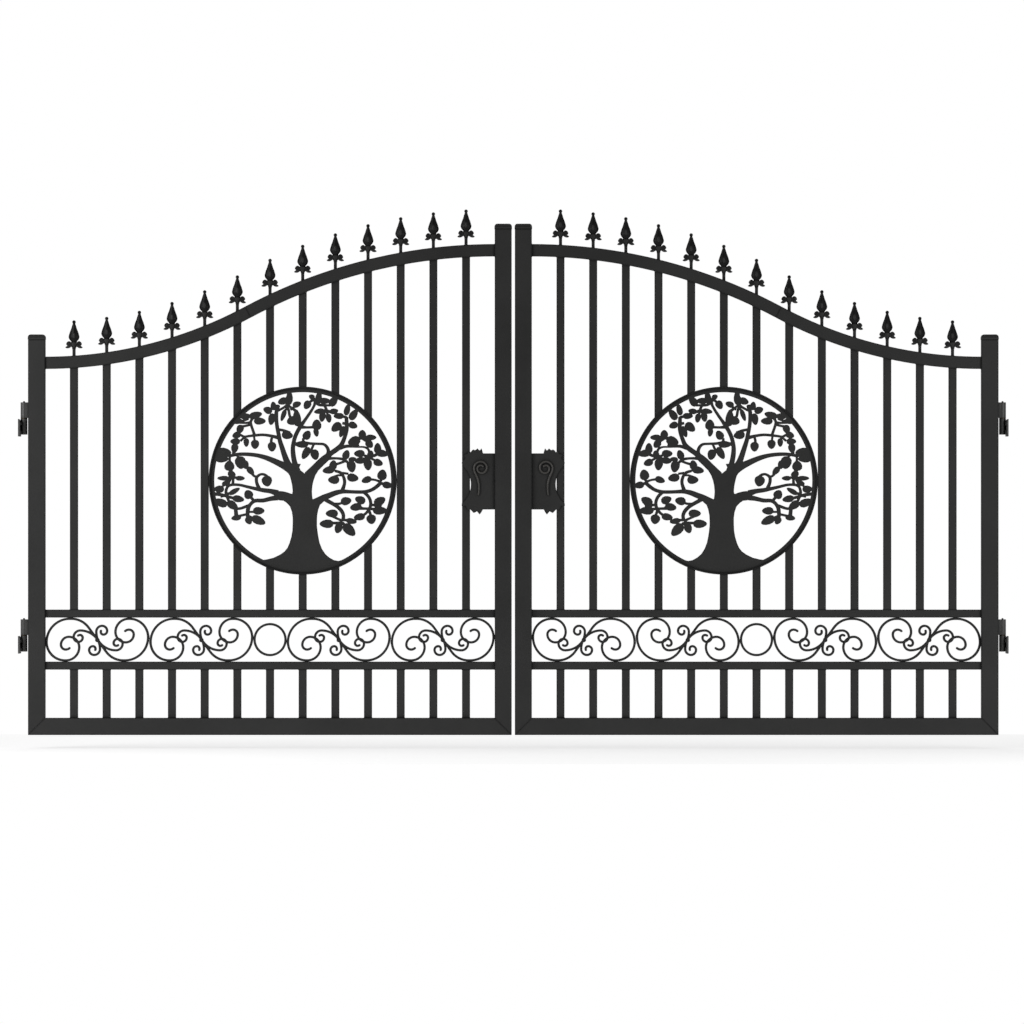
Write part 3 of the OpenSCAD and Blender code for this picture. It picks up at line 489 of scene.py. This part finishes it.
spear_half = [(10, 50), (12, 55), (16.5, 60), (19.5, 66), (20.5, 72), (18.5, 80), (15.5, 90), (11.5, 100), (8.5, 110), (5.2, 120), (4.4, 124)]
collar_half = [
    (6, 26), (7.5, 31), (10, 33.5), (12, 33), (17, 29.5), (24, 28), (30, 29), (32.5, 31.5), (31, 33.5),
    (25.5, 38), (28, 40.5), (29.5, 45), (26, 51.5), (20, 55), (14, 53.5), (10.5, 51),
]


def power(c, e):
    return math.copysign(abs(c) ** e, c)


finial = Shape()
rings = []
for w, z in curve_through(spear_half, 4):
    d = max(0.55 * w, 4.0)
    rings.append(
        [
            (
                w * power(math.cos(2 * math.pi * k / 32), 1.35),
                d * power(math.sin(2 * math.pi * k / 32), 1.35),
                z,
            )
            for k in range(32)
        ]
    )
spear = Shape()
spear.rings(rings)
rings = []
for z in (-9, 2, 12, 20, 27, 33):
    w = 6.0 if z < 25 else 6.4
    rings.append(
        [(w * power(math.cos(rad(a)), 0.32), w * power(math.sin(rad(a)), 0.32), z) for a in range(5, 365, 10)]
    )
finial.rings(rings)
outline = curve_through(collar_half + [(-x, z) for x, z in reversed(collar_half)], 3, closed=True)
finial.add(cushion_plate(outline, 7.0, 1.8))
boss = [(0, 27), (5, 34), (10, 45), (8, 50), (0, 52), (-8, 50), (-10, 45), (-5, 34)]
finial.add(cushion_plate(curve_through(boss, 3, closed=True), 9.8, 2.6))
for face in (-1, 1):
    finial.add(ball((0, face * 9.4, 76), (5.5, 3.0, 12.0), 16, 10))
    for s in (-1, 1):
        curl = []
        for k in range(31):
            a = 250 - 16 * k
            r = 7.6 - 0.18 * k
            curl.append((s * (19.5 + r * math.cos(rad(a))), 45.3 + r * math.sin(rad(a))))
        line = []
        for k, (u, v) in enumerate(curl):
            a, b = curl[max(k - 1, 0)], curl[min(k + 1, 30)]
            line.append((u, v, math.degrees(math.atan2(b[1] - a[1], b[0] - a[0]))))
        ridge = swept(line, 1.3, 1.3, 0, round_bar=True)
        finial.add(ridge, (0, face * 6.8, 0))
spear.add(ball((0, 0, 127.3), (6.7, 6.7, 6.7), 24, 14))

for side, body, mirrored in SIDES:
    row_of, tips = Shape(), Shape()
    for i in range(1, PICKETS + 1):
        x = picket_x(i)
        row_of.add(finial, (x, MID_Y, rail_z(x) + RAIL / 2 / rail_cos(x)))
        tips.add(spear, (x, MID_Y, rail_z(x) + RAIL / 2 / rail_cos(x)))
    piece(f"cast_spears_{side}", tips, body, spear_shaded_coat, mirrored)
    piece(f"cast_finials_{side}", row_of, body, paint["casting_paint"], mirrored, [f"finials_{side}"])

# ---------- pulls ----------

pull_bends = [(120, 40), (40, -28), (25, -90), (23, -90), (20, -90), (16, -90), (13, -90), (11, -50)]
line = bent_line(pull_bends, (-62, -50, 78), 3.5)
widths = [min(1.0, 0.78 + 0.22 * k / 12) for k in range(len(line))]
pull = swept(line, 4.0, 4.0, 0, round_bar=True, widths=widths)
for side, body, mirrored in SIDES:
    one = Shape()
    one.add(pull, (LEAF_W - TUBE, MID_Y - BAR / 2 - 4 - 4, 957))
    piece(f"pull_{side}", one, body, pull_coat, mirrored, [f"pull_scroll_{side}"])

# ---------- weld beads ----------


def bead(a, b, r):
    """A small welded bead from a to b, a little uneven along its length."""
    a, b = Vector(a), Vector(b)
    d = (b - a).normalized()
    side = d.orthogonal().normalized()
    other = d.cross(side)
    n = max(4, round((b - a).length / 2.4))
    rings = []
    for i in range(n + 1):
        q = r * (1 + 0.16 * math.sin(2.3 * i + a.x * 0.7 + a.z * 0.3)) * (0.45 if i in (0, n) else 1)
        c = a + (b - a) * (i / n)
        rings.append(
            [tuple(c + side * q * math.cos(rad(45 * k)) + other * q * math.sin(rad(45 * k))) for k in range(8)]
        )
    s = Shape()
    s.rings(rings)
    return s


HOOP_R = 3 * PITCH - BAR / 2 - GAP
HOOP_IN = HOOP_R - 5
for side, body, mirrored in SIDES:
    welds = Shape()
    for y in (MID_Y - 3.2, MID_Y + 3.2):
        rings = []
        for i in range(241):
            a = rad(1.5 * i)
            q = 1.7 * (1 + 0.14 * math.sin(2.6 * i))
            rings.append(
                [
                    (
                        picket_x(MEDALLION) + (HOOP_IN - 0.2 + q * math.cos(rad(45 * k))) * math.cos(a),
                        y + q * math.sin(rad(45 * k)),
                        MEDALLION_Z + (HOOP_IN - 0.2 + q * math.cos(rad(45 * k))) * math.sin(a),
                    )
                    for k in range(8)
                ]
            )
        welds.rings(rings, closed=False)
    y0, y1 = MID_Y - BAR / 2 + 1.5, MID_Y + BAR / 2 - 1.5
    for i in range(1, PICKETS + 1):
        for s in (-1, 1):
            for y in (y0 - 1.5, y1 + 1.5):
                ends = [picket_x(i) + e * (BAR / 2 - 0.5) for e in (-1, 1)]
                ends = [(e, y, rail_z(e) - RAIL / 2 / rail_cos(e)) for e in ends]
                if s > 0:
                    welds.add(bead(*ends, 1.5))
                if abs(i - MEDALLION) < 3:
                    top = []
                    for e in (-1, 1):
                        u = (i - MEDALLION) * PITCH + e * (BAR / 2 - 0.5)
                        v = MEDALLION_Z + s * math.sqrt(HOOP_R**2 - u**2)
                        top.append((picket_x(MEDALLION) + u, y + (2.0 if y < MID_Y else -2.0), v))
                    welds.add(bead(*top, 1.6))
            x = picket_x(i) + s * BAR / 2
            under = rail_z(x) - RAIL / 2 / rail_cos(x)
            for z in (TUBE, SCROLL_RAIL_Z, UPPER_Z, under):
                welds.add(bead((x, y0, z), (x, y1, z), 1.7))
            top = rail_z(picket_x(i) + s * 6) + RAIL / 2 / rail_cos(picket_x(i))
            welds.add(bead((picket_x(i) + s * 6, MID_Y - 5, top), (picket_x(i) + s * 6, MID_Y + 5, top), 1.5))
    for x, zs in ((TUBE, (LOW_Z,)), (LEAF_W - TUBE, (HIGH_Z,))):
        for z in zs:
            for s in (-1, 1):
                welds.add(bead((x, MID_Y - 18, z + s * RAIL / 2), (x, MID_Y + 18, z + s * RAIL / 2), 1.9))
        for z in (SCROLL_RAIL_Z, SCROLL_RAIL_Z + BAR, UPPER_Z - BAR, UPPER_Z):
            welds.add(bead((x, y0, z), (x, y1, z), 1.7))
    for split in SPLITS:
        for y in (0, -12):
            welds.add(bead((0, y - (0.6 if y == 0 else 0), split + 4), (0, y - (0.6 if y == 0 else 0), split + 58), 1.8))
    piece(f"weld_beads_{side}", welds, body, paint["bar_paint"], mirrored, smooth=60)

# ---------- bolts in the post plates ----------


def button_bolt():
    """A button-head bolt along +x, its head's underside at x = 0, with a hexagon socket."""
    s = Shape()
    n = 36
    profile = [(5.0, -7.4), (5.0, 0.1), (8.4, 0.1), (8.9, 0.5), (8.6, 1.7), (7.7, 3.1), (6.2, 4.1), (4.4, 4.5), (3.4, 4.5)]
    rings = []
    for r, x in profile:
        rings.append([(x, r * math.cos(2 * math.pi * k / n), r * math.sin(2 * math.pi * k / n)) for k in range(n)])
    for x in (4.5, 1.9):
        ring = []
        for k in range(n):
            a = 360 * k / n
            r = 2.9 * math.cos(rad(30)) / math.cos(rad((a + 30) % 60 - 30))
            ring.append((x, r * math.cos(rad(a)), r * math.sin(rad(a))))
        rings.append(ring)
    s.rings(rings)
    return s


bolt = button_bolt()
bolts = Shape()
for split in SPLITS:
    for y in (-31.5, 31.5):
        for z in (-18.5, -51.5):
            bolts.add(bolt, (8.0, y, split + z))
for mirrored, side in ((False, "l"), (True, "r")):
    piece(
        f"post_bolts_{side}",
        bolts,
        "posts_side",
        paint["hinge_paint"],
        mirrored,
        place=lambda x, y, z, m: ((OPENING - x if m else x) / 1000, y / 1000, (LEAF_Z + z) / 1000),
    )

# ---------- floor, light, camera ----------


def stage_material(name, colour, glow):
    m = bpy.data.materials.new(name)
    m.use_nodes = True
    n, link = m.node_tree.nodes, m.node_tree.links
    shader = n["Principled BSDF"]
    noise = n.new("ShaderNodeTexNoise")
    noise.inputs["Scale"].default_value = 1.5
    ramp = n.new("ShaderNodeValToRGB")
    ramp.color_ramp.elements[0].color = (colour * 0.985, colour * 0.985, colour * 0.985, 1)
    ramp.color_ramp.elements[1].color = (colour, colour, colour, 1)
    link.new(noise.outputs["Fac"], ramp.inputs["Fac"])
    link.new(ramp.outputs["Color"], shader.inputs["Base Color"])
    shader.inputs["Roughness"].default_value = 0.9
    shader.inputs["Specular IOR Level"].default_value = 0.0
    shader.inputs["Emission Color"].default_value = (1, 1, 1, 1)
    shader.inputs["Emission Strength"].default_value = glow
    return m


ground = LEAF_Z / 1000 - 0.05
me = bpy.data.meshes.new("floor")
x0, x1, y0, y1 = -2.4, OPENING / 1000 + 2.4, -2.4, 2.3
me.from_pydata([(x0, y0, ground), (x1, y0, ground), (x1, y1, ground), (x0, y1, ground)], [], [(0, 1, 2, 3)])
me.materials.append(stage_material("floor_paint", 0.86, 0.55))
floor = bpy.data.objects.new("floor", me)
bpy.context.scene.collection.objects.link(floor)

world = bpy.data.worlds.new("studio")
bpy.context.scene.world = world
world.use_nodes = True
n, link = world.node_tree.nodes, world.node_tree.links
back = n["Background"]
back.inputs["Color"].default_value = (0.27, 0.27, 0.27, 1)
white = n.new("ShaderNodeBackground")
white.inputs["Color"].default_value = (1, 1, 1, 1)
path = n.new("ShaderNodeLightPath")
mix = n.new("ShaderNodeMixShader")
link.new(path.outputs["Is Camera Ray"], mix.inputs["Fac"])
link.new(back.outputs["Background"], mix.inputs[1])
link.new(white.outputs["Background"], mix.inputs[2])
link.new(mix.outputs["Shader"], n["World Output"].inputs["Surface"])


def soft_light(name, where, aim, size, power):
    lamp = bpy.data.lights.new(name, "AREA")
    lamp.shape = "RECTANGLE"
    lamp.size, lamp.size_y = size
    lamp.energy = power
    ob = bpy.data.objects.new(name, lamp)
    ob.location = where
    ob.rotation_euler = (Vector(aim) - Vector(where)).to_track_quat("-Z", "Y").to_euler()
    bpy.context.scene.collection.objects.link(ob)


soft_light("key", (-2.0, -3.2, 1.8), (0.3, 0, 0.5), (1.8, 2.2), 75)
soft_light("fill", (5.6, -4.2, 1.4), (3.2, 0, 0.4), (2.0, 2.2), 45)
soft_light("behind", (1.9, 5.0, 3.4), (1.9, 0, 0.6), (4.0, 1.5), 60)

LENS, SPAN = 350.0, 3.8636
camera = bpy.data.cameras.new("camera")
camera.lens = LENS
camera.sensor_width = 36
camera.clip_end = 200
eye = bpy.data.objects.new("camera", camera)
eye.location = (
    OPENING / 2000 - 1.27 * SPAN / 1024,
    -TUBE / 1000 - SPAN * LENS / 36,
    LEAF_Z / 1000 + 0.8416,
)
eye.rotation_euler = (math.pi / 2, 0, 0)
bpy.context.scene.collection.objects.link(eye)
bpy.context.scene.camera = eye
bpy.context.scene.view_settings.view_transform = "Standard"
